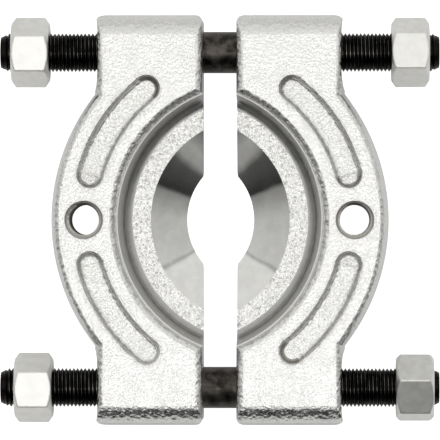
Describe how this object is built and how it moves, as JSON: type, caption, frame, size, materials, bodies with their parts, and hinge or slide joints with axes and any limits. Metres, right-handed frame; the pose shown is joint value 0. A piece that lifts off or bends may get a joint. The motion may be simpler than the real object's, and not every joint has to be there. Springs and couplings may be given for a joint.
{
  "type": "bearing separator",
  "caption": "Two forged jaws with knife-edged half openings, drawn together on a pair of threaded studs by hex nuts, to grip behind a bearing and pull it off its shaft.",
  "frame": {"origin": "middle of the opening between the jaws, on the plane of the flat knife side", "axes": "+X along the studs, towards the right jaw; +Y along the parting faces, towards the rear stud; +Z from the flat knife side to the recessed side"},
  "size_m": [0.163, 0.1526, 0.028],
  "materials": {
    "jaws": "forged steel, bright plated, with machined cone and seats",
    "studs": "black oxide, satin",
    "nuts": "zinc plated, satin"
  },
  "bodies": {
    "studs": {"rear_stud": "studs", "front_stud": "studs"},
    "left_jaw": {"left_jaw": "jaws"},
    "right_jaw": {"right_jaw": "jaws"},
    "rear_left_nut": {"rear_left_nut": "nuts"},
    "rear_right_nut": {"rear_right_nut": "nuts"},
    "front_left_nut": {"front_left_nut": "nuts"},
    "front_right_nut": {"front_right_nut": "nuts"}
  },
  "joints": [
    {"name": "left_jaw_slide", "type": "slide", "parent": "studs", "child": "left_jaw", "axis": [1, 0, 0], "range_m": [-0.0167, 0.006]},
    {"name": "right_jaw_slide", "type": "slide", "parent": "studs", "child": "right_jaw", "axis": [-1, 0, 0], "range_m": [-0.0182, 0.006]},
    {"name": "rear_left_nut_travel", "type": "slide", "parent": "studs", "child": "rear_left_nut", "axis": [1, 0, 0], "range_m": [-0.0141, 0.0179]},
    {"name": "rear_right_nut_travel", "type": "slide", "parent": "studs", "child": "rear_right_nut", "axis": [-1, 0, 0], "range_m": [-0.0138, 0.0182]},
    {"name": "front_left_nut_travel", "type": "slide", "parent": "studs", "child": "front_left_nut", "axis": [1, 0, 0], "range_m": [-0.0153, 0.0167]},
    {"name": "front_right_nut_travel", "type": "slide", "parent": "studs", "child": "front_right_nut", "axis": [-1, 0, 0], "range_m": [-0.0121, 0.0199]}
  ]
}
